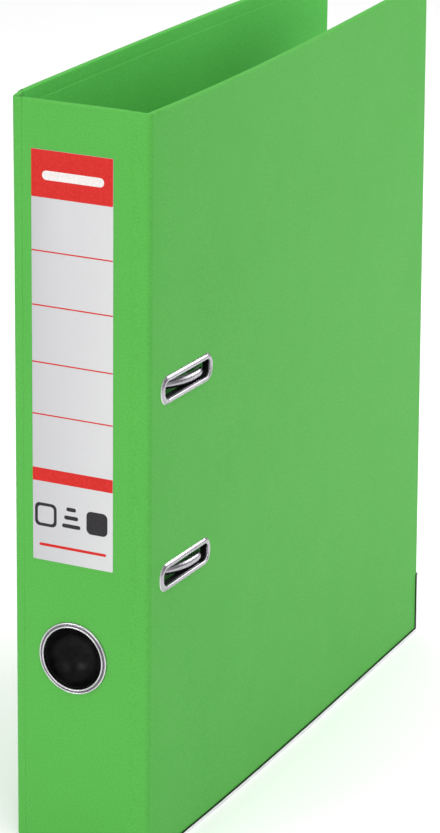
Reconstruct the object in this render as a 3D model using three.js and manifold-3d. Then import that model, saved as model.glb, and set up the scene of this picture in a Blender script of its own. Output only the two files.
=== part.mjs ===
// A4 lever arch file, 50 mm class, standing upright. Millimetres, +Z up.
//
// Everything is laid out in the file's own frame: x runs from the back cover's outer face to the front
// cover's, y from the spine's outer face to the open edge, and z up from the shelf. The exported group
// moves that frame so that its origin lies under the middle of the file.
import * as THREE from 'three';
import { mergeVertices } from 'three/addons/utils/BufferGeometryUtils.js';
import Module from 'manifold-3d';

const wasm = await Module();
wasm.setup();

// ---- driving dimensions ----
const HEIGHT = 318; // A4 file height
const DEPTH = 288; // spine face to open edge
const WIDTH = 62; // outside, across the two covers at the spine
const FILM = 0.3; // outer covering film, and the inner lining
const BOARD = 2; // greyboard
const PANEL = FILM + BOARD + FILM;
const PLAY = 0.05; // glue line between the layers of one panel
const TURN_IN = 7; // film turned over the edge onto the inner face
const HINGE_FILM = 0.5; // film and lining glued together, with no board between

const SPINE_WIDTH = 52; // stiff part of the spine
const COVER_X = WIDTH - PANEL; // inner face of the front cover
const BACK_START = 10; // the back cover's board begins here, past its hinge groove
const FRONT_HINGE = new THREE.Vector3(COVER_X, 0, 0); // the corner that the front cover turns on
const COVER_LEAN = THREE.MathUtils.degToRad(1.2); // its free edge leans in

const LABEL = { x: 27.2, width: 36.8, bottom: 125.4, top: 297.7, thickness: 0.2 };
const RING = { x: 27.3, z: 84.8, outer: 15.6, inner: 13.3, lip: 1.2, cupDepth: 9 };

const PITCH = 80; // two-hole filing
const MID_Z = 160.5; // level of the mechanism's middle
const ARCH_Z = [MID_Z - PITCH / 2, MID_Z + PITCH / 2];
const SLOT = { y: 33.6, opening: [40.5, 7.5], rim: 2.5, corner: 2.6, lip: 0.9, wall: 0.8 };
const PROTECTOR = { sheet: 0.5, lip: 1.6, corner: 27 };

const PLATE = { y: [10.5, 58.5], z: [MID_Z - 75, MID_Z + 75], corner: 4, sheet: 1.2 };
const PLATE_TOP = PANEL + PLATE.sheet;
const RIVETS = [-69, 69].flatMap((up) => [15, 54].map((y) => [y, MID_Z + up])); // y, z
const RIVET = { shank: 2, head: 4, inner: 3.4, thickness: 1 };

const WIRE = 2; // radius of the arch wire
const BAIL = { x: 7.2, y: 23 }; // axis that the arches turn on
const ARCH = { leg: 16.5, shoulder: 44, crown: [59.2, 42], noseBend: 53.5 }; // centreline, y or x or [x, y]
const POST = { y: 47.5, radius: 2, foot: 4.2, top: 34 };
const CRANK = { offset: 3.5, z: [MID_Z + 5, MID_Z + 15], slope: 5 };

const PIVOT = { x: 12, z: MID_Z + 19, radius: 1.5, head: 2.4 };
const ROLLER = { x: 12.6, z: MID_Z + 12, radius: 2.5, pin: 1 };
const LEVER = { width: 14, sheet: 1.2, top: 17.2, tip: MID_Z - 25, heel: MID_Z + 22 };
const EAR = { sheet: 1.2, gap: 0.4, z: [MID_Z + 14, MID_Z + 24] };
const HOLE_PLAY = 0.1;

const BUSH = { bottom: 5.2, flange: 4.6, neck: 3.3, bore: 2.15, disc: 1 };
const BAR = { width: 11, sheet: 0.9, overhang: 13 };

// ---- materials ----
const finish = (color, roughness, metalness = 0) =>
  new THREE.MeshStandardMaterial({ color, roughness, metalness });
const GREEN = finish(0x5fb956, 0.5);
const LINING = finish(0x52ad4e, 0.6);
const GREYBOARD = finish(0xa79c8b, 0.9);
const PAPER = finish(0xe2dcda, 0.6);
const CHROME = finish(0xd8dadd, 0.12, 1);
const ZINC = finish(0xaeb2b6, 0.35, 1);
const BLACK = finish(0x151517, 0.35);
const GREY = finish(0x54575b, 0.5);

// ---- shape helpers ----
// Axes of a drawing (u, v) and of its extrusion w in the file's frame.
const [X, Y, Z] = [new THREE.Vector3(1, 0, 0), new THREE.Vector3(0, 1, 0), new THREE.Vector3(0, 0, 1)];
const COVER_PLANE = new THREE.Matrix4().makeBasis(Y, Z, X); // u = y, v = z, w = x
const SPINE_PLANE = new THREE.Matrix4().makeBasis(Z, X, Y); // u = z, v = x, w = y

/** Turns a closed geometry into a solid that can be cut and joined. */
function toSolid(geometry) {
  const bare = geometry.clone();
  bare.deleteAttribute('normal');
  bare.deleteAttribute('uv');
  const merged = mergeVertices(bare, 1e-4);
  const vertProperties = merged.attributes.position.array;
  return new wasm.Manifold(new wasm.Mesh({ numProp: 3, vertProperties, triVerts: merged.index.array }));
}

/** Turns a solid back into a geometry. */
function toGeometry(solid) {
  const { vertProperties, triVerts } = solid.getMesh();
  const geometry = new THREE.BufferGeometry();
  geometry.setAttribute('position', new THREE.BufferAttribute(vertProperties, 3));
  geometry.setIndex(new THREE.BufferAttribute(triVerts, 1));
  geometry.computeVertexNormals();
  return geometry;
}

/** A block between two values on each axis. */
function block([x0, x1], [y0, y1], [z0, z1]) {
  const geometry = new THREE.BoxGeometry(x1 - x0, y1 - y0, z1 - z0);
  return geometry.translate((x0 + x1) / 2, (y0 + y1) / 2, (z0 + z1) / 2);
}

/** A drawing extruded from start to end along the third axis of its plane. */
function extrude(shape, plane, start, end, curveSegments = 10) {
  const options = { depth: end - start, bevelEnabled: false, curveSegments };
  const geometry = new THREE.ExtrudeGeometry(shape, options);
  return geometry.translate(0, 0, start).applyMatrix4(plane);
}

/** A rectangle with round corners about (u, v), its length along u. */
function roundedRectangle(path, u, v, [length, width], r) {
  const [du, dv] = [length / 2 - r, width / 2 - r];
  path.moveTo(u - du, v - dv - r);
  path.absarc(u + du, v - dv, r, -Math.PI / 2, 0, false);
  path.absarc(u + du, v + dv, r, 0, Math.PI / 2, false);
  path.absarc(u - du, v + dv, r, Math.PI / 2, Math.PI, false);
  path.absarc(u - du, v - dv, r, Math.PI, Math.PI * 1.5, false);
  return path;
}

/** A turned piece: [radius, height] points about the given axis, through the given point. */
function turned(points, axis, [x, y, z], segments = 24) {
  const geometry = new THREE.LatheGeometry(points.map(([r, h]) => new THREE.Vector2(r, h)), segments);
  if (axis === X) geometry.rotateZ(-Math.PI / 2);
  if (axis === Z) geometry.rotateX(Math.PI / 2);
  return geometry.translate(x, y, z);
}

/** A solid rod along an axis from start to end, the axis passing through the given point. */
const rod = (radius, start, end, axis, point, segments) =>
  turned([[0, start], [radius, start], [radius, end], [0, end]], axis, point, segments);

/** Cuts tools out of a geometry. */
function cut(geometry, ...tools) {
  return toGeometry(tools.reduce((solid, tool) => solid.subtract(toSolid(tool)), toSolid(geometry)));
}

/** Joins geometries into one. */
function join(geometry, ...others) {
  return toGeometry(others.reduce((solid, other) => solid.add(toSolid(other)), toSolid(geometry)));
}

function part(name, geometry, material) {
  const mesh = new THREE.Mesh(geometry, material);
  mesh.name = name;
  return mesh;
}

const grow = ([low, high], by) => [low - by, high + by];

// ---- panels: a board in a wrap of film, with a lining on its inner face ----
/**
 * The three layers of a panel. size holds the panel's ranges along x, y and z, thin is the index of the
 * axis through its thickness, and inward is +1 or -1, the way that its inner face looks along it.
 */
function panel(name, size, thin, inward, holes) {
  const [outer, inner] = inward > 0 ? size[thin] : [...size[thin]].reverse();
  const across = (a, b) => [outer + inward * a, outer + inward * b].sort((p, q) => p - q);
  const layer = (range, margin) => block(...size.map((r, i) => (i === thin ? range : grow(r, -margin))));
  const board = layer(across(FILM + PLAY, FILM + BOARD - PLAY), FILM + PLAY);
  const pocket = layer(across(FILM, FILM + BOARD), FILM);
  const window = layer(across(FILM + BOARD - 1, PANEL + 1), TURN_IN);
  const lining = layer([inner - inward * (FILM - PLAY), inner].sort((p, q) => p - q), TURN_IN + PLAY);
  return [
    part(`${name}_board`, cut(board, ...holes), GREYBOARD),
    part(`${name}_skin`, cut(block(...size), pocket, window, ...holes), GREEN),
    part(`${name}_lining`, cut(lining, ...holes), LINING),
  ];
}

// ---- spine ----
function spine() {
  const reach = [-1, PANEL + 1];
  const hole = rod(RING.inner + 0.9, ...reach, Y, [RING.x, 0, RING.z], 48);
  return [
    ...panel('spine', [[0, SPINE_WIDTH], [0, PANEL], [0, HEIGHT]], 1, 1, [hole]),
    part('front_hinge_film', block([SPINE_WIDTH + PLAY, COVER_X - 0.3], [0, HINGE_FILM], [0, HEIGHT]), GREEN),
    part('spine_label', labelSheet(), PAPER),
    ...fingerPull(),
  ];
}

function labelSheet() {
  const x = [LABEL.x - LABEL.width / 2, LABEL.x + LABEL.width / 2];
  return block(x, [-LABEL.thickness, 0], [LABEL.bottom, LABEL.top]);
}

/** The finger hole: a rolled rim outside, a flat ring inside, and a dished cup that closes it. */
function fingerPull() {
  const centre = [RING.x, 0, RING.z];
  const { inner, outer, lip, cupDepth } = RING;
  const collar = inner + 0.7;
  const back = PANEL + 0.8;
  const rim = [
    [inner, -0.4], [inner + 0.15, -lip + 0.2], [inner + 0.45, -lip], [inner + 0.8, -lip + 0.3],
    [inner + 1.2, -0.4], [outer - 0.8, -lip + 0.5], [outer - 0.4, -lip + 0.4], [outer, 0],
    [collar, 0], [collar, back], [inner, back], [inner, -0.4],
  ];
  const cupWall = inner - 0.15;
  const cup = [
    [0, cupDepth - 0.9], [cupWall - 6, cupDepth - 0.9], [cupWall - 3.2, cupDepth - 1.8],
    [cupWall - 1.4, cupDepth - 3.6], [cupWall - 0.8, cupDepth - 6], [cupWall - 0.8, 0.2], [cupWall, 0.2],
    [cupWall, cupDepth - 5.6], [cupWall - 0.7, cupDepth - 3], [cupWall - 2.8, cupDepth - 0.9],
    [cupWall - 5.8, cupDepth], [0, cupDepth],
  ];
  const ring = [[collar + 0.1, PANEL], [outer - 0.4, PANEL], [outer - 0.4, back], [collar + 0.1, back]];
  return [
    part('finger_ring', turned(rim, Y, centre, 48), CHROME),
    part('finger_ring_backing', turned([...ring, ring[0]], Y, centre, 48), CHROME),
    part('finger_cup', turned(cup, Y, centre, 48), BLACK),
  ];
}

// ---- covers ----
/** A folded metal strip along a cover's lower edge that turns up at its outer corner. */
function edgeProtector(thickness, start) {
  const { sheet, lip, corner } = PROTECTOR;
  const outside = grow(thickness, sheet + PLAY);
  const strip = block(outside, [start, DEPTH], [0, sheet + lip]);
  const upright = block(outside, [DEPTH - sheet - lip, DEPTH], [0, corner]);
  const panelSpace = block(grow(thickness, PLAY), [start - 1, DEPTH - sheet], [sheet, corner + 1]);
  return cut(join(strip, upright), panelSpace);
}

const coverTop = { y: DEPTH - PROTECTOR.sheet - PLAY, z: [PROTECTOR.sheet + PLAY, HEIGHT] };

/** A rounded rectangle at a slot, this much wider all round than the opening. */
function slotOutline(path, z, margin) {
  const size = SLOT.opening.map((value) => value + 2 * margin);
  return roundedRectangle(path, SLOT.y, z, size, SLOT.corner + Math.min(margin, 1.4));
}

/** A band round a slot, between two margins, extruded from x0 to x1. */
function slotBand(z, outside, inside, x0, x1) {
  const shape = slotOutline(new THREE.Shape(), z, outside);
  shape.holes.push(slotOutline(new THREE.Path(), z, inside));
  return extrude(shape, COVER_PLANE, x0, x1, 6);
}

function slotPieces(name, z) {
  const { rim, lip, wall } = SLOT;
  const back = COVER_X - 0.5;
  const flange = slotBand(z, rim, 0, WIDTH + PLAY, WIDTH + PLAY + lip);
  const collar = slotBand(z, wall, 0, back, WIDTH + PLAY + lip / 2);
  return [
    part(`${name}_slot_frame`, join(flange, collar), CHROME),
    part(`${name}_slot_backing`, slotBand(z, rim, wall + PLAY, back, COVER_X - PLAY), CHROME),
  ];
}

function frontCover() {
  const cover = new THREE.Group();
  const hole = (z) => {
    const shape = slotOutline(new THREE.Shape(), z, SLOT.wall + PLAY);
    return extrude(shape, COVER_PLANE, COVER_X - 1, WIDTH + 1, 6);
  };
  const size = [[COVER_X, WIDTH], [0, coverTop.y], coverTop.z];
  cover.add(
    ...panel('front', size, 0, -1, ARCH_Z.map(hole)),
    ...slotPieces('lower', ARCH_Z[0]),
    ...slotPieces('upper', ARCH_Z[1]),
    part('front_edge_protector', edgeProtector([COVER_X, WIDTH], 3), ZINC),
  );
  return turnedAbout(cover, FRONT_HINGE, COVER_LEAN);
}

/** Turns a group about an upright line through a point. */
function turnedAbout(group, point, angle) {
  const offset = point.clone().applyAxisAngle(Z, angle);
  group.rotation.z = angle;
  group.position.copy(point).sub(offset);
  return group;
}

function backCover() {
  const holes = RIVETS.map(([y, z]) => rod(RIVET.shank + HOLE_PLAY, -1, PANEL + 1, X, [0, y, z]));
  return [
    ...panel('back', [[0, PANEL], [BACK_START, coverTop.y], coverTop.z], 0, 1, holes),
    part('back_hinge_film', block([0, HINGE_FILM], [PANEL + 0.7, BACK_START - PLAY], coverTop.z), GREEN),
    part('back_edge_protector', edgeProtector([0, PANEL], BACK_START + 2), ZINC),
  ];
}

// ---- mechanism on the back cover ----
function basePlate() {
  const holes = RIVETS.map(([y, z]) => rod(RIVET.shank + HOLE_PLAY, 0, PLATE_TOP + 1, X, [0, y, z]));
  const [y0, y1] = PLATE.y;
  const [z0, z1] = PLATE.z;
  const shape = roundedRectangle(
    new THREE.Shape(), (y0 + y1) / 2, (z0 + z1) / 2, [y1 - y0, z1 - z0], PLATE.corner);
  return part('base_plate', cut(extrude(shape, COVER_PLANE, PANEL, PLATE_TOP, 4), ...holes), ZINC);
}

function rivets() {
  const { shank, head, inner, thickness } = RIVET;
  const top = PLATE_TOP + thickness;
  const profile = [
    [0, -thickness], [head - 1, -thickness], [head, -0.3], [head, 0], [shank, 0],
    [shank, PLATE_TOP], [inner, PLATE_TOP], [inner - 0.8, top], [0, top],
  ];
  return RIVETS.map(([y, z], i) => part(`base_rivet_${i + 1}`, turned(profile, X, [0, y, z]), ZINC));
}

function posts() {
  const { radius, foot, top, y } = POST;
  const flange = PLATE_TOP + 1;
  const profile = [
    [0, PLATE_TOP], [foot, PLATE_TOP], [foot, flange - 0.4], [foot - 0.6, flange], [radius + 0.3, flange],
    [radius, flange + 0.4], [radius, top - 1.4], [radius - 0.5, top - 0.4], [radius - 1.1, top], [0, top],
  ];
  const post = (name, z) => part(`${name}_post`, turned(profile, X, [0, y, z]), ZINC);
  return [post('lower', ARCH_Z[0]), post('upper', ARCH_Z[1])];
}

/** Two ears on a foot that is welded to the plate; the lever's pin passes through both. */
function leverBracket() {
  const half = LEVER.width / 2 + EAR.gap + EAR.sheet;
  const [z0, z1] = EAR.z;
  const shape = new THREE.Shape();
  shape.moveTo(z0, PLATE_TOP);
  shape.lineTo(z1, PLATE_TOP);
  shape.lineTo(PIVOT.z + 4, PIVOT.x);
  shape.absarc(PIVOT.z, PIVOT.x, 4, 0, Math.PI, false);
  const body = extrude(shape, SPINE_PLANE, BAIL.y - half, BAIL.y + half, 12);
  const gap = half - EAR.sheet;
  const inside = block([PLATE_TOP + 1, PIVOT.x + 5], [BAIL.y - gap, BAIL.y + gap], grow(EAR.z, 1));
  const pinHole = rod(PIVOT.radius + HOLE_PLAY, -half - 1, half + 1, Y, [PIVOT.x, BAIL.y, PIVOT.z]);
  return part('lever_bracket', cut(body, inside, pinHole), ZINC);
}

function pivotPin() {
  const half = LEVER.width / 2 + EAR.gap + EAR.sheet + 0.1;
  const end = half + 0.8;
  const { radius, head } = PIVOT;
  const profile = [
    [0, -end], [head, -end], [head, -half], [radius, -half],
    [radius, half], [head, half], [head, end], [0, end],
  ];
  return part('lever_pivot_pin', turned(profile, Y, [PIVOT.x, BAIL.y, PIVOT.z]), ZINC);
}

/** A strap over the arch wire, with a foot on each side. */
function bailBearing(name, z) {
  const centre = [BAIL.x, BAIL.y, 0];
  const length = [z - 3, z + 3];
  const inner = WIRE + 0.15;
  const outer = inner + 1;
  const beside = (r) => [BAIL.y - r, BAIL.y + r];
  const bend = rod(outer, ...length, Z, centre);
  const legs = block([PLATE_TOP, BAIL.x], beside(outer), length);
  const feet = block([PLATE_TOP, PLATE_TOP + 1], beside(outer + 3.6), length);
  const bore = rod(inner, ...grow(length, 1), Z, centre);
  const mouth = block([PLATE_TOP - 1, BAIL.x], beside(inner), grow(length, 1));
  return part(`${name}_bail_bearing`, cut(join(bend, legs, feet), bore, mouth), ZINC);
}

/** The leaf that lifts the arches' crank when the lever lets go of it. */
function archSpring() {
  const strip = 0.6;
  const tip = BAIL.x - WIRE - 0.15;
  const shape = new THREE.Shape();
  const [foot, heel, knee, end] = [-13, -6, 7, 12].map((up) => MID_Z + up);
  shape.moveTo(foot, PLATE_TOP);
  shape.lineTo(heel, PLATE_TOP);
  shape.lineTo(knee, tip - strip);
  shape.lineTo(end, tip - strip);
  shape.lineTo(end, tip);
  shape.lineTo(knee, tip);
  shape.lineTo(heel, PLATE_TOP + strip);
  shape.lineTo(foot, PLATE_TOP + strip);
  const y = BAIL.y + CRANK.offset;
  return part('arch_spring', extrude(shape, SPINE_PLANE, y - 2.2, y + 2.2), ZINC);
}

// ---- lever ----
function lever() {
  const { width, sheet, top, tip, heel } = LEVER;
  const y = [BAIL.y - width / 2, BAIL.y + width / 2];
  const shape = new THREE.Shape();
  shape.moveTo(tip, top - sheet);
  shape.lineTo(MID_Z - 9, top - sheet);
  shape.lineTo(MID_Z + 7, 9.4);
  shape.lineTo(PIVOT.z, 8.8);
  shape.absarc(PIVOT.z, PIVOT.x, 3.2, -Math.PI / 2, 0, false);
  shape.lineTo(heel, top);
  shape.lineTo(tip, top);
  const through = grow(y, 1);
  const inside = block([0, top - sheet], grow(y, -sheet), [tip - 1, heel + 2]);
  const pivotHole = rod(PIVOT.radius + HOLE_PLAY, ...through, Y, [PIVOT.x, 0, PIVOT.z]);
  const pinHole = rod(ROLLER.pin + HOLE_PLAY, ...through, Y, [ROLLER.x, 0, ROLLER.z]);
  const arm = cut(extrude(shape, SPINE_PLANE, ...y), inside, pivotHole, pinHole);
  const pin = rod(ROLLER.pin, ...grow(y, 0.2), Y, [ROLLER.x, 0, ROLLER.z], 16);
  return [
    part('lever_arm', arm, ZINC),
    part('roller_pin', pin, ZINC),
    part('lever_grip', leverGrip(y), GREY),
  ];
}

/** The moulded cap on the lever's free end. */
function leverGrip(y) {
  const { top, sheet, tip } = LEVER;
  const wall = 1.1;
  const arm = block(grow([top - sheet, top], PLAY), grow(y, PLAY), [tip - PLAY, tip + 20]);
  return cut(block(grow([top - sheet, top], wall), grow(y, wall), [tip - 1.5, tip + 12]), arm);
}

function roller() {
  const { radius, pin, x, z } = ROLLER;
  const half = LEVER.width / 2 - LEVER.sheet - 0.3;
  const bore = pin + HOLE_PLAY;
  const profile = [[bore, -half], [radius, -half], [radius, half], [bore, half], [bore, -half]];
  return part('roller', turned(profile, Y, [x, BAIL.y, z]), GREY);
}

// ---- arches: one bent wire ----
function archWire() {
  const at = (x, y, z) => new THREE.Vector3(x, y, z);
  const { leg, shoulder, crown: [crownX, crownY], noseBend } = ARCH;
  const post = POST.y;
  const bendX = BAIL.x + 6.8;
  const bend = 3.5;
  /** From the nose over the post, across the crown, down the leg and along to the axis. */
  const arch = (z, side) => [
    new THREE.LineCurve3(at(POST.top + 0.3, post, z), at(noseBend, post, z)),
    new THREE.CubicBezierCurve3(
      at(noseBend, post, z), at(noseBend + 4, post, z), at(crownX, crownY + 5, z), at(crownX, crownY, z)),
    new THREE.CubicBezierCurve3(
      at(crownX, crownY, z), at(crownX, crownY - 10, z), at(shoulder + 13, leg, z), at(shoulder, leg, z)),
    new THREE.LineCurve3(at(shoulder, leg, z), at(bendX, leg, z)),
    new THREE.QuadraticBezierCurve3(at(bendX, leg, z), at(BAIL.x, leg, z), at(BAIL.x, BAIL.y - bend, z)),
    new THREE.QuadraticBezierCurve3(
      at(BAIL.x, BAIL.y - bend, z), at(BAIL.x, BAIL.y, z), at(BAIL.x, BAIL.y, z + side * bend)),
  ];
  const [z0, z1] = ARCH_Z;
  const [c0, c1] = CRANK.z;
  const out = BAIL.y + CRANK.offset;
  const step = (za, ya, zb, yb) => new THREE.CubicBezierCurve3(
    at(BAIL.x, ya, za), at(BAIL.x, ya, (za + zb) / 2), at(BAIL.x, yb, (za + zb) / 2), at(BAIL.x, yb, zb));
  const straight = (za, zb, y) => new THREE.LineCurve3(at(BAIL.x, y, za), at(BAIL.x, y, zb));
  const middle = [
    straight(z0 + bend, c0 - CRANK.slope, BAIL.y),
    step(c0 - CRANK.slope, BAIL.y, c0, out),
    straight(c0, c1, out),
    step(c1, out, c1 + CRANK.slope, BAIL.y),
    straight(c1 + CRANK.slope, z1 - bend, BAIL.y),
  ];
  const route = [...arch(z0, 1), ...middle, ...reversed(arch(z1, -1))];
  return part('arch_wire', wireThrough(stopsAlong(route)), CHROME);
}

/** The same pieces of a route, walked the other way. */
function reversed(curves) {
  return [...curves].reverse().map((curve) => {
    if (curve instanceof THREE.LineCurve3) return new THREE.LineCurve3(curve.v2, curve.v1);
    if (curve instanceof THREE.QuadraticBezierCurve3) {
      return new THREE.QuadraticBezierCurve3(curve.v2, curve.v1, curve.v0);
    }
    return new THREE.CubicBezierCurve3(curve.v3, curve.v2, curve.v1, curve.v0);
  });
}

/** The stops along a route: the ends of its straight pieces, and points along its bends. */
function stopsAlong(curves) {
  const points = [curves[0].getPoint(0)];
  for (const curve of curves) {
    const steps = curve instanceof THREE.LineCurve3 ? 1 : Math.ceil(curve.getLength() / 2.5) + 2;
    for (let i = 1; i <= steps; i += 1) points.push(curve.getPoint(i / steps));
  }
  return points;
}

/** A round wire through the stops: a ring of points at each, with its ends closed. */
function wireThrough(points) {
  const sides = 10;
  const rings = [];
  let across = new THREE.Vector3(0, 0, 1);
  points.forEach((point, i) => {
    const before = points[Math.max(i - 1, 0)];
    const after = points[Math.min(i + 1, points.length - 1)];
    const ahead = after.clone().sub(point).normalize();
    const behind = point.clone().sub(before).normalize();
    const along = ahead.clone().add(behind).normalize();
    across = across.clone().addScaledVector(along, -across.dot(along)).normalize();
    const up = new THREE.Vector3().crossVectors(along, across);
    rings.push(Array.from({ length: sides }, (_, k) => {
      const angle = (2 * Math.PI * k) / sides;
      return point.clone()
        .addScaledVector(across, WIRE * Math.cos(angle))
        .addScaledVector(up, WIRE * Math.sin(angle));
    }));
  });
  const positions = [...rings.flat(), points[0], points.at(-1)].flatMap((p) => p.toArray());
  const index = [];
  const last = rings.length - 1;
  const [startCentre, endCentre] = [rings.length * sides, rings.length * sides + 1];
  for (let k = 0; k < sides; k += 1) {
    const next = (k + 1) % sides;
    index.push(startCentre, next, k, endCentre, last * sides + k, last * sides + next);
    for (let r = 0; r < last; r += 1) {
      const [a, b] = [r * sides + k, r * sides + next];
      index.push(a, b, b + sides, a, b + sides, a + sides);
    }
  }
  const geometry = new THREE.BufferGeometry();
  geometry.setAttribute('position', new THREE.Float32BufferAttribute(positions, 3));
  geometry.setIndex(index);
  geometry.computeVertexNormals();
  return geometry;
}

// ---- compressor: a bar that holds the sheets down on the posts ----
function compressor() {
  const { bottom, flange, neck, bore, disc } = BUSH;
  const top = bottom + 3 * disc;
  const profile = [
    [bore, bottom], [flange, bottom], [flange, bottom + disc], [neck, bottom + disc],
    [neck, top - disc], [flange, top - disc], [flange, top], [bore, top], [bore, bottom],
  ];
  const names = ['lower', 'upper'];
  const bushes = names.map((name, i) =>
    part(`${name}_compressor_bush`, turned(profile, X, [0, POST.y, ARCH_Z[i]]), GREY));
  const shape = new THREE.Shape();
  const [z0, z1] = grow(ARCH_Z, BAR.overhang);
  const r = BAR.width / 2;
  shape.moveTo(POST.y + r, z0 + r);
  shape.lineTo(POST.y + r, z1 - r);
  shape.absarc(POST.y, z1 - r, r, 0, Math.PI, false);
  shape.absarc(POST.y, z0 + r, r, Math.PI, 2 * Math.PI, false);
  const low = bottom + disc + PLAY;
  const bar = extrude(shape, COVER_PLANE, low, low + BAR.sheet, 8);
  const holes = ARCH_Z.map((z) => rod(neck + HOLE_PLAY, 0, top + 1, X, [0, POST.y, z]));
  return [part('compressor_bar', cut(bar, ...holes), ZINC), ...bushes];
}

// ---- the file ----
const file = new THREE.Group();
file.add(
  ...spine(),
  frontCover(),
  ...backCover(),
  basePlate(),
  ...rivets(),
  ...posts(),
  leverBracket(),
  pivotPin(),
  bailBearing('lower', ARCH_Z[0] + 8),
  bailBearing('upper', ARCH_Z[1] - 8),
  archSpring(),
  ...lever(),
  roller(),
  archWire(),
  ...compressor(),
);
file.position.set(-WIDTH / 2, -DEPTH / 2, 0);

export default file;
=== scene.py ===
import math

import bmesh
import bpy
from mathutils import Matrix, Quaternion, Vector


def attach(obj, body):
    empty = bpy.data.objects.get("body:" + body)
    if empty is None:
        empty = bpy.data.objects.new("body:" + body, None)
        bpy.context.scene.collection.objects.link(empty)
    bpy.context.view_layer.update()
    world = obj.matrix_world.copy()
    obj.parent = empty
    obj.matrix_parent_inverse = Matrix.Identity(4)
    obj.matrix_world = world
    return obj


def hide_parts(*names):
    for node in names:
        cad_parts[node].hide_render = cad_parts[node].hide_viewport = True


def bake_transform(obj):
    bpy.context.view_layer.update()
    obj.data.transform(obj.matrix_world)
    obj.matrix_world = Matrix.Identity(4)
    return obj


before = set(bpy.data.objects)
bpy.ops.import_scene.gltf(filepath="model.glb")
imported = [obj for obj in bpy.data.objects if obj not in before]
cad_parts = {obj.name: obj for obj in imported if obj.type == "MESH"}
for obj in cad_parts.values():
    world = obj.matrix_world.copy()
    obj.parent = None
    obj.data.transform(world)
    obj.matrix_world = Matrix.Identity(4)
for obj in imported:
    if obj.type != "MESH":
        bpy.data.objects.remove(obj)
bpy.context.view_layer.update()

MM = 0.001
ORIGIN = (31.0, 144.0, 0.0)  # the row frame's origin in the file's frame

HEIGHT, DEPTH, WIDTH = 318.0, 288.0, 62.0
FILM = 0.3  # thickness of the film round a board
PANEL = 2.6  # thickness of a panel: board, film and lining
TURN_IN = 7.0  # how far the film comes round onto a panel's inner face
SPINE_WIDTH = 52.0  # the spine panel's, up to the front hinge
BACK_START = 10.0  # the back cover's panel starts here, past its hinge
COVER_END = DEPTH - 0.55  # the covers' boards end here, inside their edge protectors
COVER_FOOT = 0.55  # and start this high, for the same reason
EDGE = 0.8  # rounding of a panel's edges
SPINE_CORNER = 2.6  # the spine's corner to the back cover
HINGE_CORNER = 2.3  # the spine's corner to the front cover
PROUD = 0.06  # how far the hinges' bands lie over the panels' faces

RING = (27.3, 85.0)  # the finger ring's centre: x, z
RING_HOLE = 14.25  # radius of the hole in the spine under the ring
LABEL = {"x": (8.9, 45.6), "z": (125.7, 298.2), "thick": 0.2}
INK = 0.025  # thickness of the print
ARCH_PITCH = 80.0  # between the two rings of a two-hole file
MID_Z = 160.5  # level of the mechanism's middle
ARCH_Z = (MID_Z - ARCH_PITCH / 2, MID_Z + ARCH_PITCH / 2)
SLOT_Z = tuple(z + 1.4 for z in ARCH_Z)  # the wires pass a little below the slots' middles
SLOT_Y = 30.8  # the slots' middle
SLOT_OPENING = (38.9, 7.2)  # inside its frame: along y, along z
SLOT_CORNER = 3.1  # rounding of the opening's corners


def at(x, y, z):
    """A point of the file's frame, as a point of the row frame."""
    return Vector(((x - ORIGIN[0]) * MM, (y - ORIGIN[1]) * MM, (z - ORIGIN[2]) * MM))


def lerp(a, b, t):
    return a + (b - a) * t


def spread(a, b, count):
    return [lerp(a, b, i / count) for i in range(count + 1)]


# ---- how the two covers hang: neither is quite flat ----
def smooth(t):
    t = min(1.0, max(0.0, t))
    return t * t * (3 - 2 * t)


def front_lean(y, z):
    """How far the front cover has leaned in at a point: it bows out near the spine and then comes in."""
    t, up = y / DEPTH, z / HEIGHT
    return lerp(3.6, 6.8, up) * t - lerp(1.3, 3.0, up) * 4 * t * (1 - t) * (1.9 - 1.3 * t)


def back_lean(y, z):
    """How far the back cover has come in: its outer corner does, and its top edge flares out."""
    y = max(y, 0.0)
    reach = (y / DEPTH) ** 3
    flare = 3.2 * smooth((z - 236) / 82) * (1 - (1 - min(1.0, max(0.0, y - 1.2) / 15)) ** 2)
    return 3.4 * reach - flare * (1 - reach)


def on_front(y, z, deep):
    """A point of the front cover, this deep under its outer face."""
    x = WIDTH - deep
    x, y = rounded_corner(x, y, WIDTH - HINGE_CORNER, HINGE_CORNER, HINGE_CORNER, 1)
    return x - front_lean(max(y, 0), z), y, z


def on_back(y, z, deep):
    return deep + back_lean(y, z), y, z


def on_spine(x, z, deep):
    x, y = rounded_corner(x, deep, SPINE_CORNER, SPINE_CORNER, SPINE_CORNER, -1)
    return x, y, z


def rounded_corner(x, y, cx, cy, radius, side):
    """Takes a square corner, whose round centre is (cx, cy), to a round one."""
    dx, dy = (x - cx) * side, cy - y
    if dx <= 0 or dy <= 0:
        return x, y
    shrink = max(dx, dy) / math.hypot(dx, dy)
    return cx + side * dx * shrink, cy - dy * shrink


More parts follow.
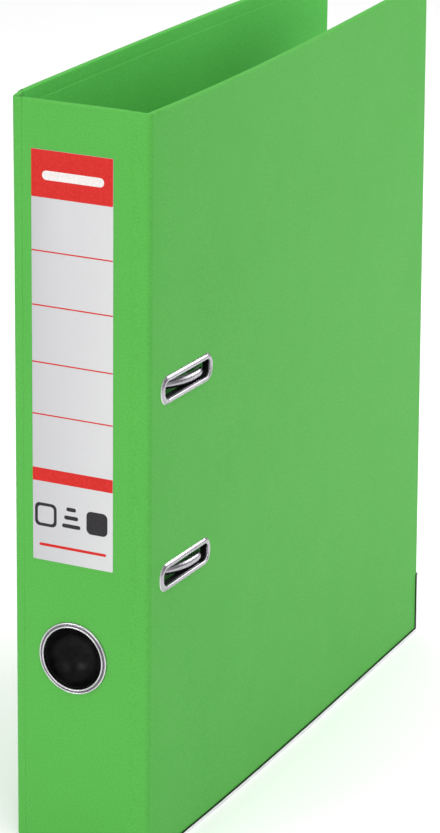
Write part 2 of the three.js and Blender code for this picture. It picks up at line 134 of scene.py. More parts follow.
# ---- meshes ----
def piece(name, points, faces, material, body, stands_for=(), sharp=38, holes=(), second=None):
    """
    A new piece from points in the file's frame. It rides on a body and may stand for CAD nodes. second is
    another material and a test of a face's centre and normal that tells where it goes.
    """
    bm = bmesh.new()
    verts = [bm.verts.new(at(*p)) for p in points]
    for face in faces:
        try:
            bm.faces.new([verts[i] for i in face])
        except ValueError:
            continue
    bmesh.ops.remove_doubles(bm, verts=bm.verts, dist=2e-6)
    bmesh.ops.dissolve_degenerate(bm, edges=bm.edges, dist=1e-6)
    bmesh.ops.recalc_face_normals(bm, faces=bm.faces)
    obj = to_object(name, bm, sharp)
    if holes:
        obj = cut_holes(obj, holes, sharp)
    obj.data.materials.clear()
    obj.data.materials.append(material)
    if body:
        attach(obj, body)
    if stands_for:
        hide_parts(*stands_for)
    if second:
        obj.data.materials.append(second[0])
        for face in obj.data.polygons:
            centre = [c / MM + o for c, o in zip(face.center, ORIGIN)]
            face.material_index = int(second[1](centre, face.normal))
    return obj


def to_object(name, bm, sharp):
    shade(bm, sharp)
    mesh = bpy.data.meshes.new(name)
    bm.to_mesh(mesh)
    bm.free()
    obj = bpy.data.objects.new(name, mesh)
    bpy.context.scene.collection.objects.link(obj)
    return obj


def shade(bm, sharp):
    """Smooth faces, with edges sharper than this many degrees left crisp."""
    limit = math.radians(sharp)
    for face in bm.faces:
        face.smooth = True
    for edge in bm.edges:
        edge.smooth = not edge.is_manifold or edge.calc_face_angle(0) < limit


def cut_holes(obj, cutters, sharp):
    for cutter in cutters:
        modifier = obj.modifiers.new("hole", "BOOLEAN")
        modifier.operation = "DIFFERENCE"
        modifier.solver = "EXACT"
        modifier.object = cutter
    mesh = bpy.data.meshes.new_from_object(obj.evaluated_get(bpy.context.evaluated_depsgraph_get()))
    obj.modifiers.clear()
    obj.data = mesh
    bm = bmesh.new()
    bm.from_mesh(mesh)
    shade(bm, sharp)
    bm.to_mesh(mesh)
    bm.free()
    return obj


def loop(span_u, span_v, inset, counts):
    """Points round a rectangle, this far inside its edges, with round corners."""
    (u0, u1), (v0, v1) = span_u, span_v
    nu, nv, nc = counts
    u0, u1, v0, v1 = u0 + inset, u1 - inset, v0 + inset, v1 - inset
    r = max(EDGE - inset, 0.0)
    sides = [
        ((u0 + r, v0), (u1 - r, v0), nu, (u1 - r, v0 + r), -90),
        ((u1, v0 + r), (u1, v1 - r), nv, (u1 - r, v1 - r), 0),
        ((u1 - r, v1), (u0 + r, v1), nu, (u0 + r, v1 - r), 90),
        ((u0, v1 - r), (u0, v0 + r), nv, (u0 + r, v0 + r), 180),
    ]
    points = []
    for start, end, count, centre, angle in sides:
        points += zip(spread(start[0], end[0], count), spread(start[1], end[1], count))
        for k in range(1, nc):
            a = math.radians(angle + 90 * k / nc)
            points.append((centre[0] + r * math.cos(a), centre[1] + r * math.sin(a)))
    return points


def layered(span_u, span_v, profile, place, counts):
    """A closed panel: loops of (inset, depth) one after the other, its first and last filled with a grid."""
    nu, nv, nc = counts
    flat = [(u, v, d) for inset, d in profile for u, v in loop(span_u, span_v, inset, counts)]
    size = len(flat) // len(profile)
    faces = []
    for ring in range(len(profile) - 1):
        for i in range(size):
            j = (i + 1) % size
            a, b = ring * size, (ring + 1) * size
            faces.append((a + i, a + j, b + j, b + i))
    for ring in (0, len(profile) - 1):
        base = ring * size
        right, top = nu + nc, nu + nc + nv + nc
        left = top + nu + nc

        def edge_index(i, j):
            if j == 0:
                return base + i
            if i == nu:
                return base + right + j
            if j == nv:
                return base + top + (nu - i)
            return base + left + (nv - j) if i == 0 else None

        inset, d = profile[ring]
        us = spread(span_u[0] + inset, span_u[1] - inset, nu)
        vs = spread(span_v[0] + inset, span_v[1] - inset, nv)
        index = {}
        for j in range(nv + 1):
            for i in range(nu + 1):
                known = edge_index(i, j)
                if known is None:
                    known = len(flat)
                    flat.append((us[i], vs[j], d))
                index[i, j] = known
        for j in range(nv):
            for i in range(nu):
                faces.append((index[i, j], index[i + 1, j], index[i + 1, j + 1], index[i, j + 1]))
    return [place(*p) for p in flat], faces


def arc_profile(radius, steps=4):
    """(inset, depth) points round a quarter from an outer face to an edge."""
    points = []
    for k in range(steps + 1):
        a = math.radians(90 * k / steps)
        points.append((radius * (1 - math.sin(a)), radius * (1 - math.cos(a))))
    return points


def turned(name, profile, centre, material, body, segments, **kw):
    """A closed piece turned about y, from (radius, y) points, the last joined to the first."""
    points, faces = [], []
    count = len(profile)
    for s in range(segments):
        a = 2 * math.pi * s / segments
        for r, h in profile:
            offset = (r * math.cos(a), h, r * math.sin(a))
            points.append(tuple(c + o for c, o in zip(centre, offset)))
    for s in range(segments):
        t = (s + 1) % segments
        for k in range(count):
            m = (k + 1) % count
            faces.append((s * count + k, t * count + k, t * count + m, s * count + m))
    return piece(name, points, faces, material, body, **kw)


def banded(name, rings, material, body, closed=True, **kw):
    """
    A closed piece from rings of points that all hold the same number. The last ring is joined to the first,
    or else, when not closed, the first and the last are filled.
    """
    size = len(rings[0])
    points = [p for ring in rings for p in ring]
    faces = []
    for k in range(len(rings) if closed else len(rings) - 1):
        a, b = k * size, (k + 1) % len(rings) * size
        for i in range(size):
            j = (i + 1) % size
            faces.append((a + i, a + j, b + j, b + i))
    if not closed:
        faces.append(tuple(range(size)))
        faces.append(tuple(range((len(rings) - 1) * size, len(rings) * size)))
    return piece(name, points, faces, material, body, **kw)


# ---- materials ----
def rgb(r, g, b):
    """sRGB 0-255 to linear."""
    def channel(c):
        c /= 255
        return c / 12.92 if c <= 0.04045 else ((c + 0.055) / 1.055) ** 2.4
    return channel(r), channel(g), channel(b), 1.0


class Nodes:
    """A material's node tree, with short calls for the nodes used here."""

    def __init__(self, name):
        self.material = bpy.data.materials.new(name)
        self.material.use_nodes = True
        self.tree = self.material.node_tree
        self.shader = self.tree.nodes["Principled BSDF"]
        self.place = self.tree.nodes.new("ShaderNodeTexCoord").outputs["Object"]

    def link(self, a, b):
        self.tree.links.new(a, b)

    def noise(self, scale, detail=2.0, stretch=(1, 1, 1)):
        mapping = self.tree.nodes.new("ShaderNodeMapping")
        mapping.inputs["Scale"].default_value = stretch
        self.link(self.place, mapping.inputs["Vector"])
        node = self.tree.nodes.new("ShaderNodeTexNoise")
        node.inputs["Scale"].default_value = scale
        node.inputs["Detail"].default_value = detail
        self.link(mapping.outputs[0], node.inputs["Vector"])
        return node.outputs[0]

    def bands(self, scale, direction):
        node = self.tree.nodes.new("ShaderNodeTexWave")
        node.bands_direction = direction
        node.inputs["Scale"].default_value = scale
        node.inputs["Distortion"].default_value = 1.5
        node.inputs["Detail"].default_value = 1.0
        self.link(self.place, node.inputs["Vector"])
        return node.outputs["Fac"]

    def ramp(self, value, low, high, start=0.35, end=0.65):
        """Maps a value to a number between low and high."""
        node = self.tree.nodes.new("ShaderNodeMapRange")
        for name, number in (("From Min", start), ("From Max", end), ("To Min", low), ("To Max", high)):
            node.inputs[name].default_value = number
        self.link(value, node.inputs["Value"])
        return node.outputs[0]

    def mix(self, value, a, b):
        """Mixes two colours, or a colour and another output, by a value."""
        node = self.tree.nodes.new("ShaderNodeMix")
        node.data_type = "RGBA"
        for socket, colour in ((node.inputs[6], a), (node.inputs[7], b)):
            if isinstance(colour, tuple):
                socket.default_value = colour
            else:
                self.link(colour, socket)
        self.link(value, node.inputs[0])
        return node.outputs[2]

    def combine(self, a, b, operation="ADD"):
        """Two outputs, or an output and a number, put together by arithmetic."""
        node = self.tree.nodes.new("ShaderNodeMath")
        node.operation = operation
        for socket, value in zip(node.inputs, (a, b)):
            if isinstance(value, float):
                socket.default_value = value
            else:
                self.link(value, socket)
        return node.outputs[0]

    def bump(self, height, strength, distance):
        node = self.tree.nodes.new("ShaderNodeBump")
        node.inputs["Strength"].default_value = strength
        node.inputs["Distance"].default_value = distance * MM
        self.link(height, node.inputs["Height"])
        self.link(node.outputs[0], self.shader.inputs["Normal"])

    def painted_edge_highlight(self):
        """A mask that is high on a piece's outer edges, where a highlight is painted."""
        node = self.tree.nodes.new("ShaderNodeNewGeometry")
        return self.ramp(node.outputs["Pointiness"], 0.0, 1.0, 0.52, 0.6)


def film_material(name, light, dark, roughness):
    """Coloured plastic film with a fine woven grain and slight blotches."""
    n = Nodes(name)
    blotch = n.ramp(n.noise(14, 3), 0.0, 1.0)
    grain = n.noise(1500, 2)
    base = n.mix(blotch, light, dark)
    base = n.mix(n.ramp(grain, 0.0, 0.16), base, (0.0, 0.02, 0.0, 1.0))
    n.link(base, n.shader.inputs["Base Color"])
    n.link(n.ramp(n.noise(60, 4), roughness - 0.02, roughness + 0.02), n.shader.inputs["Roughness"])
    weave = n.combine(n.combine(n.bands(520, "X"), n.bands(520, "Y")), n.bands(520, "Z"))
    height = n.combine(n.combine(weave, 0.12, "MULTIPLY"), grain)
    n.bump(height, 0.35, 0.05)
    n.shader.inputs["Specular IOR Level"].default_value = 0.13
    return n.material


def metal_material(name, colour, roughness, brushed, wear):
    """Plated or bare metal with fine lines drawn along brushed, smudges, and painted highlights on its edges.
    """
    n = Nodes(name)
    smudge = n.noise(70, 4)
    lines = n.noise(900, 2, brushed)
    dark = tuple(c * 0.86 for c in colour[:3]) + (1.0,)
    base = n.mix(n.ramp(smudge, 0.0, 1.0), colour, dark)
    # painted highlight: the outer edges are coloured near-white to stand in for the bright lines that light
    # draws along them
    base = n.mix(n.painted_edge_highlight(), base, (0.93, 0.93, 0.94, 1.0))
    n.link(base, n.shader.inputs["Base Color"])
    rough = n.combine(n.ramp(smudge, roughness, roughness + wear), n.ramp(lines, 0.0, 0.05))
    n.link(rough, n.shader.inputs["Roughness"])
    n.bump(lines, 0.12, 0.02)
    n.shader.inputs["Metallic"].default_value = 1.0
    return n.material


def plastic_material(name, colour, roughness, grain_scale=1600, strength=0.15, shine=0.5):
    """Moulded plastic with a fine spark grain."""
    n = Nodes(name)
    lighter = tuple(min(1, c * 1.5 + 0.004) for c in colour[:3]) + (1.0,)
    n.link(n.mix(n.ramp(n.noise(220, 4), 0.0, 1.0), colour, lighter), n.shader.inputs["Base Color"])
    n.link(n.ramp(n.noise(120, 3), roughness - 0.05, roughness + 0.07), n.shader.inputs["Roughness"])
    n.bump(n.noise(grain_scale, 2), strength, 0.03)
    n.shader.inputs["Specular IOR Level"].default_value = shine
    return n.material


def board_material(name):
    """Greyboard: fibres and darker flecks."""
    n = Nodes(name)
    fibre = n.mix(n.ramp(n.noise(500, 5), 0.0, 1.0), rgb(150, 139, 124), rgb(176, 166, 150))
    flecks = n.ramp(n.noise(1300, 3), 0.0, 0.5, 0.6, 0.75)
    n.link(n.mix(flecks, fibre, rgb(96, 88, 80)), n.shader.inputs["Base Color"])
    n.shader.inputs["Roughness"].default_value = 0.9
    n.bump(n.noise(900, 4), 0.3, 0.05)
    return n.material


def paper_material(name):
    """Coated label paper with faint fibres, and painted shade that makes it darker towards its left edge."""
    n = Nodes(name)
    split = n.tree.nodes.new("ShaderNodeSeparateXYZ")
    n.link(n.place, split.inputs[0])
    x0, x1 = (at(x, 0, 0).x for x in LABEL["x"])
    # painted shade: the paper's colour darkens towards the label's left edge, standing in for light that
    # falls off across it
    tone = n.mix(n.ramp(split.outputs["X"], 0.0, 1.0, x0, x1), rgb(181, 181, 184), rgb(204, 204, 205))
    fibre = n.mix(n.ramp(n.noise(700, 4), 0.0, 0.05), tone, rgb(160, 155, 156))
    n.link(fibre, n.shader.inputs["Base Color"])
    n.link(n.ramp(n.noise(90, 2), 0.38, 0.5), n.shader.inputs["Roughness"])
    n.bump(n.noise(1100, 3), 0.08, 0.02)
    return n.material


def ink_material(name, colour):
    """Printed ink: solid colour with the slight mottling of print on paper."""
    n = Nodes(name)
    paler = tuple(min(1, c * 1.12 + 0.006) for c in colour[:3]) + (1.0,)
    n.link(n.mix(n.ramp(n.noise(900, 3), 0.0, 1.0), colour, paler), n.shader.inputs["Base Color"])
    n.link(n.ramp(n.noise(90, 2), 0.36, 0.48), n.shader.inputs["Roughness"])
    n.shader.inputs["Specular IOR Level"].default_value = 0.15
    return n.material


GREEN = film_material("green_film", rgb(86, 173, 74), rgb(84, 171, 72), 0.55)
LINING = film_material("green_lining", rgb(90, 196, 83), rgb(86, 192, 79), 0.6)
BOARD = board_material("greyboard")
PAPER = paper_material("label_paper")
RED = ink_material("red_ink", rgb(190, 32, 27))
DARK_INK = ink_material("dark_ink", rgb(38, 36, 40))
WHITE_INK = ink_material("white_ink", rgb(214, 208, 206))
CHROME = metal_material("chrome", rgb(174, 171, 177), 0.2, (1, 1, 1), 0.08)
ZINC = metal_material("zinc_plate", rgb(190, 193, 197), 0.26, (1, 1, 0.08), 0.12)
EDGE_METAL = metal_material("edge_metal", rgb(232, 233, 236), 0.24, (0.08, 0.08, 1), 0.1)
# black plastic for the finger dish; also used as painted shade inside the slot collars and on the edge
# strips' lips
BLACK = plastic_material("black_plastic", rgb(6, 6, 7), 0.3, 900, 0.25, 0.07)
GREY = plastic_material("grey_plastic", rgb(84, 87, 91), 0.45)


# ---- panels ----
def panel(name, span_u, span_v, place, body, cad, inward, holes=(), counts=(24, 24, 3)):
    """A panel of three layers: a green film wrapped round a board and turned in, and a lining."""
    back, middle = PANEL - 0.15, PANEL / 2  # depths of the turned-in film's face and of the board's middle
    flat, chamfer, gap = 1.6, 0.4, 0.05
    outer = [(SPINE_CORNER, 0.0), (flat, 0.0)] + arc_profile(EDGE)
    inner = [(i, back - d) for i, d in reversed(arc_profile(0.6))]
    skin = outer + [(0.0, middle)] + inner + [
        (TURN_IN, back), (TURN_IN, back - FILM), (FILM, back - FILM), (FILM, middle), (FILM, FILM + chamfer),
        (FILM + chamfer, FILM), (flat, FILM), (SPINE_CORNER, FILM),
    ]
    under = FILM + gap
    core = [
        (SPINE_CORNER, under), (flat, under), (under + chamfer, under), (under, under + chamfer),
        (under, back - under), (2.0, back - under),
    ]
    lining = [
        (TURN_IN - 0.4, PANEL), (TURN_IN - 0.8, PANEL - 0.03), (TURN_IN - 1, PANEL - 0.1),
        (TURN_IN - 1, back), (TURN_IN + gap, back), (TURN_IN + gap, back - FILM),
    ]
    turned_in = (LINING, lambda centre, normal: normal.dot(Vector(inward)) > 0.7)
    layers = (
        ("film_wrap", skin, GREEN, "skin", turned_in),
        ("board_sheet", core, BOARD, "board", None),
        ("lining_sheet", lining, LINING, "lining", None),
    )
    for layer, profile, material, node, second in layers:
        points, faces = layered(span_u, span_v, profile, place, counts)
        title = f"{name}_{layer}"
        piece(title, points, faces, material, body, [f"{cad}_{node}"], holes=holes, second=second)


def rounded_box(u0, u1, v0, v1, r, count=5):
    """(u, v) points round a rectangle with round corners."""
    points = []
    corners = ((u1 - r, v0 + r), (u1 - r, v1 - r), (u0 + r, v1 - r), (u0 + r, v0 + r))
    for quarter, (cu, cv) in enumerate(corners):
        for k in range(count + 1):
            a = math.radians(90 * (quarter - 1) + 90 * k / count)
            points.append((cu + r * math.cos(a), cv + r * math.sin(a)))
    return points


def slot_outline(z, margin):
    """(y, z) points round a slot's rounded opening, this much wider all round."""
    length, width = (s / 2 + margin for s in SLOT_OPENING)
    r = SLOT_CORNER + min(margin, 2.1)
    return rounded_box(SLOT_Y - length, SLOT_Y + length, z - width, z + width, r, 7)


def slot_cutter(z):
    """The hole in the front cover's layers for a slot frame's collar."""
    outline = slot_outline(z, 0.85)
    rings = [[(x - front_lean(y, z), y, zz) for y, zz in outline] for x in (WIDTH - 6, WIDTH + 4)]
    cutter = banded(f"cutter_{z:.0f}", rings, GREEN, None, closed=False)
    return cutter


def remove(objects):
    for obj in objects:
        bpy.data.objects.remove(obj)


def slot_ring(name, z, section, material, node, second=None):
    """A metal ring round a slot, from (margin, depth under the cover's face) points."""
    rings = []
    for margin, deep in section:
        ring = []
        for y, zz in slot_outline(z, margin):
            ring.append((WIDTH - deep - front_lean(y, zz), y, zz))
        rings.append(ring)
    return banded(name, rings, material, "front_cover", stands_for=[node], sharp=50, second=second)


def slots():
    """Pressed frames: a broad rounded bezel outside, and a collar through the cover whose inside is painted
    black as shade.
    """
    back = PANEL + 0.45
    frame_section = [
        (0.0, back), (0.0, 0.3), (0.0, -0.3), (0.12, -0.6), (0.35, -0.82), (0.7, -0.93), (1.1, -0.93),
        (1.5, -0.85), (1.85, -0.68), (2.15, -0.45), (2.38, -0.2), (2.5, -0.04), (0.8, -0.04), (0.8, back),
    ]
    backing_section = [
        (0.86, PANEL + 0.02), (2.45, PANEL + 0.02), (2.45, back - 0.15), (2.2, back + 0.1), (1.1, back + 0.1),
        (0.86, back - 0.1),
    ]

    # painted shade: the collar's inner faces get the black material, standing in for the darkness inside the
    # file
    def collar_painted_shade(centre, normal):
        x, y, z = centre
        return WIDTH - x - front_lean(y, z) > 0.2

    for name, z in zip(("lower", "upper"), SLOT_Z):
        slot_ring(f"{name}_slot_bezel", z, frame_section, CHROME, f"{name}_slot_frame", (BLACK, collar_painted_shade))
        slot_ring(f"{name}_slot_inner_ring", z, backing_section, ZINC, f"{name}_slot_backing")


def covers():
    cutters = [slot_cutter(z) for z in SLOT_Z]
    upright = (COVER_FOOT, HEIGHT)
    panel("front_cover", (0.0, COVER_END), upright, on_front, "front_cover", "front", (-1, 0, 0), cutters)
    remove(cutters)
    panel("back_cover", (BACK_START, COVER_END), upright, on_back, "back_cover", "back", (1, 0, 0))


def edge_protector(name, start, place, body, node):
    """A folded metal channel over a cover's lower edge that turns up at its outer corner, with a painted
    shadow along its lips.
    """
    lip, sheet, corner, fold, gap = 2.1, 0.5, 30.0, 0.45, 0.05
    near, far = -sheet - gap, PANEL + sheet + gap  # depths of the channel's two outer faces
    section = [  # depth under the cover's face, height over its edge
        (near, lip), (near, lip - fold), (near, 0.9), (near, fold), (near + 0.13, 0.13), (near + fold, 0.0),
        (PANEL / 2, 0.0), (far - fold, 0.0), (far - 0.13, 0.13), (far, fold), (far, lip),
        (far - 0.25, lip + 0.12), (PANEL + gap, lip), (PANEL + gap, sheet), (-gap, sheet), (-gap, lip),
        (near + 0.25, lip + 0.12),
    ]
    bend = 4.0  # the channel runs straight up to here on both sides of the corner
    rings = [[(y, h, d) for d, h in section] for y in spread(start, DEPTH - bend, 30)]
    rings.append([(DEPTH - h, h, d) for d, h in section])
    rings += [[(DEPTH - h, z, d) for d, h in section] for z in spread(bend, corner - 0.6, 6)]
    rings.append([(DEPTH - h, corner - (0.4 if d < 0 or d > PANEL else 0), d) for d, h in section])

    # painted shadow: the lips' top faces and the top of the turned-up corner get the black material, standing
    # in for the shadow line where the strip meets the film
    def painted_shadow_edge(centre, normal):
        x, y, z = centre
        return min(z, DEPTH - y) > lip - 0.4 or z > corner - 0.45

    banded(name, [[place(*p) for p in ring] for ring in rings], EDGE_METAL, body, closed=False,
           stands_for=[node], sharp=50, second=(BLACK, painted_shadow_edge))


def spine():
    x, z = RING
    outside, inside = -4.0, 8.0
    profile = [(0.0, outside), (RING_HOLE, outside), (RING_HOLE, inside), (0.0, inside)]
    cutter = turned("cutter_ring", profile, (x, 0, z), GREEN, None, 64)
    panel("spine", (0.0, SPINE_WIDTH), (0.0, HEIGHT), on_spine, "spine", "spine", (0, 1, 0), [cutter],
          (10, 30, 3))
    remove([cutter])


def hinge_band(name, path, thickness, lean, foot, node):
    """
    A strip of film that crosses the hinge between a pair of bodies. path holds (x, y, nx, ny) stations of
    its outer face with their outward directions. Its ends roll over like the panels' rounded edges.
    """
    roll = arc_profile(EDGE)
    levels = [(foot + rise, sink) for sink, rise in roll]
    levels += [(z, 0.0) for z in spread(foot + EDGE, HEIGHT - EDGE, 40)[1:-1]]
    levels += [(HEIGHT - rise, sink) for sink, rise in reversed(roll)]
    rings = []
    for z, sink in levels:
        deep = thickness - sink
        stations = [(x + lean(y, z), y, nx, ny) for x, y, nx, ny in path]
        outer = [(x - nx * sink, y - ny * sink, z) for x, y, nx, ny in stations]
        inner = [(x - nx * deep, y - ny * deep, z) for x, y, nx, ny in reversed(stations)]
        rings.append(outer + inner)
    band = banded(name, rings, GREEN, None, closed=False, stands_for=[node], sharp=60)
    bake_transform(band)


def groove(t, depth):
    """A shallow rounded dip between two boards, t from 0 to 1 across it."""
    return depth * math.sin(math.pi * t) ** 2 if 0 < t < 1 else 0.0


def round_corner_path(cx, radius, side, steps):
    """Stations round a vertical corner of the spine, from its face to a cover's, side 1 or -1."""
    r = radius + PROUD
    path = []
    for k in steps:
        a = math.radians(90 * k / 8)
        nx, ny = side * math.sin(a), -math.cos(a)
        path.append((cx + r * nx, radius + r * ny, nx, ny))
    return path


def front_hinge():
    """Across the spine's face, round the corner and onto the front cover."""
    groove_start, groove_width = 52.4, 6.6
    path = []
    for x in spread(50.6, WIDTH - HINGE_CORNER, 24):
        path.append((x, groove((x - groove_start) / groove_width, 0.42) - PROUD, 0.0, -1.0))
    path += round_corner_path(WIDTH - HINGE_CORNER, HINGE_CORNER, 1, range(1, 9))
    path += [(WIDTH + PROUD, y, 1.0, 0.0) for y in (3.0, 3.7, 4.4)]

    def lean(y, z):
        return -front_lean(max(y, 0), z)

    hinge_band("front_hinge_band", path, 1.7, lean, 0.0,
               "front_hinge_film")


def back_hinge():
    """Round the spine's other corner and onto the back cover."""
    groove_start, groove_width = 3.4, 7.2
    path = [(x, -PROUD, 0.0, -1.0) for x in (4.6, 4.0, 3.4)]
    path += round_corner_path(SPINE_CORNER, SPINE_CORNER, -1, range(9))
    for y in spread(3.0, 13.0, 20):
        path.append((groove((y - groove_start) / groove_width, 0.4) - PROUD, y, -1.0, 0.0))
    hinge_band("back_hinge_band", path, 2.3, back_lean, COVER_FOOT,
               "back_hinge_film")


# ---- label ----
def flat_shape(name, outline, y0, y1, material, **kw):
    """A thin flat shape on the spine, from (x, z) points, between two depths."""
    rings = [[(x, y, z) for x, z in outline] for y in (y1, y0)]
    return banded(name, rings, material, "spine", closed=False, **kw)


def label_frame(name, x, z, size, line):
    """A rounded square outline round (x, z), as plain print."""
    half, hole = size / 2, size / 2 - line
    y0, y1 = -LABEL["thick"] - INK, -LABEL["thick"]
    outer = rounded_box(x - half, x + half, z - half, z + half, 2.2)
    inner = rounded_box(x - hole, x + hole, z - hole, z + hole, 2.2 - line * 0.6)
    loops = ((outer, y0), (inner, y0), (inner, y1), (outer, y1))
    banded(name, [[(a, y, b) for a, b in shape] for shape, y in loops], DARK_INK, "spine")


def label():
    """The spine label: a sheet, a header, four writing lines, a bar and plain marks, with no text."""
    (x0, x1), (z0, z1), thick = LABEL["x"], LABEL["z"], LABEL["thick"]
    edge, margin = 0.06, 0.05
    flat = [rounded_box(x0 + i, x1 - i, z0 + i, z1 - i, 0.5) for i in (0.0, 0.0, edge)]
    rings = [[(x, y, z) for x, z in f] for f, y in zip(flat, (0.0, -thick + edge, -thick))]
    banded("label_sheet", rings, PAPER, "spine", closed=False, stands_for=["spine_label"])
    y0, y1 = -thick - INK, -thick
    left, right = x0 + margin, x1 - margin

    def mark(name, span_x, span_z, corner, ink):
        flat_shape(name, rounded_box(*span_x, *span_z, corner), y0, y1, ink)

    mark("label_header", (left, right), (278.7, z1 - margin), 0.4, RED)
    bar = rounded_box(x0 + 5.0, x1 - 4.0, 286.0, 289.8, 1.8)
    flat_shape("label_header_bar", bar, y0 - INK, y0, WHITE_INK)
    for i, z in enumerate((256.6, 234.0, 210.1, 188.2)):
        mark(f"label_line_{i + 1}", (left, right), (z - 0.28, z + 0.28), 0.1, RED)
    mark("label_bar", (left, right), (159.7, 165.3), 0.1, RED)
    label_frame("label_mark_left", 14.9, 145.4, 10.0, 1.3)
    for i, half in enumerate((4.2, 3.2, 2.2)):
        z = 141.4 + 3.6 * i
        mark(f"label_mark_middle_{i + 1}", (26.6 - half, 26.6 + half), (z, z + 1.7), 0.8, DARK_INK)
    mark("label_mark_right", (33.6, 43.2), (140.4, 150.2), 2.2, DARK_INK)
    mark("label_footer_line", (x0 + 3.0, x1 - 3.0), (131.9, 133.1), 0.55, RED)


# ---- finger hole ----
def finger_hole():
    """A ring pressed over the hole's edge, with two beads, and a black dish that closes the hole."""
    x, z = RING
    centre = (x, 0.0, z)
    rim = [
        (13.3, 0.5), (13.3, -0.6), (13.36, -0.92), (13.5, -1.14), (13.72, -1.22), (13.94, -1.14),
        (14.08, -0.9), (14.16, -0.5), (14.26, -0.12), (14.46, -0.02), (14.66, -0.12), (14.76, -0.45),
        (14.9, -0.74), (15.12, -0.84), (15.36, -0.76), (15.52, -0.5), (15.58, -0.2), (15.6, 0.0), (14.1, 0.0),
        (14.1, PANEL + 0.7), (14.0, PANEL + 0.8), (13.4, PANEL + 0.8), (13.3, PANEL + 0.7),
    ]
    turned("finger_ring_rim", rim, centre, CHROME, "spine", 128, stands_for=["finger_ring"], sharp=50)
    dish = [
        (0.0, 8.3), (2.5, 8.2), (5.0, 7.8), (7.4, 6.9), (9.4, 5.6), (10.9, 4.1), (11.9, 2.6), (12.5, 1.3),
        (12.75, 0.5), (12.85, 0.3), (13.0, 0.22), (13.12, 0.3), (13.15, 1.4), (12.7, 2.9), (11.7, 4.6),
        (10.1, 6.3), (7.9, 7.7), (5.2, 8.6), (2.6, 8.95), (0.0, 9.0),
    ]
    turned("finger_dish", dish, centre, BLACK, "spine", 128, stands_for=["finger_cup"], sharp=60)


# ---- arches ----
def bezier(points, t):
    """The point at t on the curve that these points steer: a line, a quadratic or a cubic."""
    while len(points) > 1:
        points = [a.lerp(b, t) for a, b in zip(points, points[1:])]
    return points[0]


def arch_route():
    """Points along the wire: up one hoop from its nose, along the crank at the bail, and down the other."""
    bail_x, bail_y = 7.2, 23.0  # the axis the wire turns about
    leg, post = 16.5, 47.5  # y of a hoop's leg and of its nose, over the post
    nose_x, shoulder_x, crown_x, crown_y = 34.3, 55.5, 61.2, 42.0
    bend, slope = 3.5, 5
    crank_low, crank_high, crank_y = MID_Z + 5, MID_Z + 15, bail_y + bend

    def hoop(z, s):
        """One hoop's curves from its nose to the bail, where it turns up or down by the sign s."""
        outline = [
            [(nose_x, post), (shoulder_x, post)],
            [(shoulder_x, post), (60, post), (crown_x, 47), (crown_x, crown_y)],
            [(crown_x, crown_y), (crown_x, 31), (58.5, leg), (44, leg)],
            [(44, leg), (14, leg)],
            [(14, leg), (bail_x, leg), (bail_x, bail_y - bend)],
        ]
        turn = [Vector((bail_x, bail_y - bend, z)), Vector((bail_x, bail_y, z)),
                Vector((bail_x, bail_y, z + s * bend))]
        return [[Vector((x, y, z)) for x, y in curve] for curve in outline] + [turn]

    def along_bail(*stations):
        return [Vector((bail_x, y, z)) for y, z in stations]

    def step(y0, z0, y1, z1):
        middle = (z0 + z1) / 2
        return along_bail((y0, z0), (y0, middle), (y1, middle), (y1, z1))

    low, high = ARCH_Z
    crank = [
        along_bail((bail_y, low + bend), (bail_y, crank_low - slope)),
        step(bail_y, crank_low - slope, crank_y, crank_low),
        along_bail((crank_y, crank_low), (crank_y, crank_high)),
        step(crank_y, crank_high, bail_y, crank_high + slope),
        along_bail((bail_y, crank_high + slope), (bail_y, high - bend)),
    ]
    upper_hoop = [list(reversed(curve)) for curve in reversed(hoop(high, -1))]
    stops = []
    for curve in hoop(low, 1) + crank + upper_hoop:
        length = sum((b - a).length for a, b in zip(curve, curve[1:]))
        steps = max(2, round(length / 1.2))
        stops += [bezier(curve, i / steps) for i in range(steps)]
    stops.append(upper_hoop[-1][-1])
    return stops


def arches():
    """The wire, swept along its route, with rounded ends. Its crowns are pressed a little flat."""
    stops = arch_route()
    sides, radius = 28, 2.0
    across = Vector((0, 0, 1))
    rings = []
    last = len(stops) - 1
    for i, p in enumerate(stops):
        along = (stops[min(i + 1, last)] - stops[max(i - 1, 0)]).normalized()
        across = (across - along * across.dot(along)).normalized()
        up = along.cross(across)
        ends = [(0.0, radius)]
        if i in (0, last):
            ends = [(0.0, radius - 0.45), (0.13, radius - 0.15), (0.45, radius)]
            ends = ends if i == 0 else list(reversed(ends))
        flat = smooth((p.x - 50.0) / 8.0)
        for deep, r in ends:
            wide, high = r * (1 + 0.05 * flat), r * (1 - 0.12 * flat)
            centre = p + along * (deep if i == 0 else -deep)
            ring = []
            for k in range(sides):
                a = 2 * math.pi * k / sides
                q = centre + across * wide * math.cos(a) + up * high * math.sin(a)
                ring.append(tuple(q))
            rings.append(ring)
    banded("arch_hoops", rings, CHROME, "arches", closed=False, stands_for=["arch_wire"], sharp=50)


# ---- the rest of the mechanism keeps its CAD nodes ----
def dress(node, material, bevel):
    """Gives a CAD node its material, and its edges a bevel of this many millimetres."""
    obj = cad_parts[node]
    obj.data.materials.clear()
    obj.data.materials.append(material)
    if bevel:
        modifier = obj.modifiers.new("edges", "BEVEL")
        modifier.width = bevel * MM
        modifier.segments = 2
        modifier.limit_method = "ANGLE"
        modifier.angle_limit = math.radians(40)
        normals = obj.modifiers.new("normals", "WEIGHTED_NORMAL")
        normals.keep_sharp = False


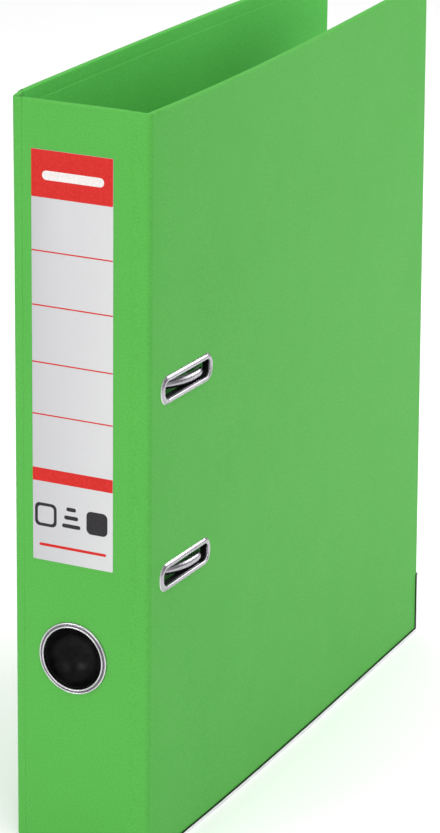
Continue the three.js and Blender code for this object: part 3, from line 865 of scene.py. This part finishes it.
def mechanism():
    """The CAD's own steel and plastic pieces, each with the width of its bevel."""
    zinc = {"base_plate": 0.3, "lever_bracket": 0.2, "lever_pivot_pin": 0.2, "lower_bail_bearing": 0.2,
            "upper_bail_bearing": 0.2, "arch_spring": 0.1, "lever_arm": 0.25, "roller_pin": 0.1,
            "compressor_bar": 0.2, "lower_post": 0.0, "upper_post": 0.0}
    zinc.update({f"base_rivet_{i}": 0.15 for i in range(1, 5)})
    for node, bevel in zinc.items():
        dress(node, ZINC, bevel)
    dress("finger_ring_backing", CHROME, 0.15)
    for node in ("lever_grip", "roller", "lower_compressor_bush", "upper_compressor_bush"):
        dress(node, GREY, 0.2)


# ---- floor, light and camera ----
def studio_floor():
    half = 6.0  # half of its side, in metres
    mesh = bpy.data.meshes.new("floor")
    corners = [(-half, -half, 0), (half, -half, 0), (half, half, 0), (-half, half, 0)]
    mesh.from_pydata(corners, [], [(0, 1, 2, 3)])
    floor = bpy.data.objects.new("floor", mesh)
    bpy.context.scene.collection.objects.link(floor)
    n = Nodes("floor_white")
    tone = n.mix(n.ramp(n.noise(3, 2), 0.0, 1.0), (0.955, 0.955, 0.955, 1.0), (0.97, 0.97, 0.97, 1.0))
    n.link(tone, n.shader.inputs["Base Color"])
    n.shader.inputs["Roughness"].default_value = 0.8
    mesh.materials.append(n.material)


def studio_world():
    """White light from all round, bright in front of the file and dim behind it."""
    world = bpy.data.worlds.new("studio")
    bpy.context.scene.world = world
    world.use_nodes = True
    tree = world.node_tree
    split = tree.nodes.new("ShaderNodeSeparateXYZ")
    level = tree.nodes.new("ShaderNodeMapRange")
    for name, number in (("From Min", -0.2), ("From Max", 0.6), ("To Min", 0.74), ("To Max", 0.16)):
        level.inputs[name].default_value = number
    background = tree.nodes["Background"]
    background.inputs["Color"].default_value = (1.0, 1.0, 1.0, 1.0)
    tree.links.new(tree.nodes.new("ShaderNodeTexCoord").outputs["Generated"], split.inputs[0])
    tree.links.new(split.outputs["Y"], level.inputs["Value"])
    tree.links.new(level.outputs[0], background.inputs["Strength"])


def soft_light(name, place, size, watts, aim=(0, 0, 0.15)):
    """A round area light, all in metres, turned to the file's middle unless it is aimed elsewhere."""
    light = bpy.data.lights.new(name, "AREA")
    light.shape = "DISK"
    light.size = size
    light.energy = watts
    obj = bpy.data.objects.new(name, light)
    obj.location = place
    obj.rotation_mode = "QUATERNION"
    obj.rotation_quaternion = (Vector(aim) - Vector(place)).to_track_quat("-Z", "Y")
    bpy.context.scene.collection.objects.link(obj)


def stage_set():
    studio_floor()
    studio_world()
    soft_light("key", (1.05, -2.0, 1.8), 1.6, 15)
    soft_light("side", (0.6, 0.75, 0.55), 0.5, 3.2)
    soft_light("left", (-1.0, -2.0, 0.7), 0.8, 11)
    soft_light("overhead", (0.2, 0.4, 2.6), 2.6, 46)
    soft_light("backdrop", (-1.7, 3.6, 2.4), 2.4, 16, (-1.7, 3.6, 0))
    view = bpy.context.scene.view_settings
    view.view_transform = "Standard"
    view.look = "None"


def camera():
    azimuth, elevation, roll = math.radians(26.21), math.radians(17.17), math.radians(0.565)
    level = math.cos(elevation)
    back = Vector((math.sin(azimuth) * level, -math.cos(azimuth) * level, math.sin(elevation)))
    data = bpy.data.cameras.new("camera")
    data.lens = 155.86
    data.sensor_width = 36
    data.shift_x, data.shift_y = 0.0095, -0.1092
    data.clip_end = 50
    obj = bpy.data.objects.new("camera", data)
    obj.location = (0.6513, -1.3489, 0.6515)
    obj.rotation_mode = "QUATERNION"
    obj.rotation_quaternion = (-back).to_track_quat("-Z", "Y") @ Quaternion((0, 0, 1), roll)
    bpy.context.scene.collection.objects.link(obj)
    bpy.context.scene.camera = obj


stage_set()
camera()
spine()
covers()
front_hinge()
back_hinge()
slots()
edge_protector("front_edge_strip", 3.0, on_front, "front_cover", "front_edge_protector")
edge_protector("back_edge_strip", BACK_START + 2, on_back, "back_cover", "back_edge_protector")
label()
finger_hole()
arches()
mechanism()
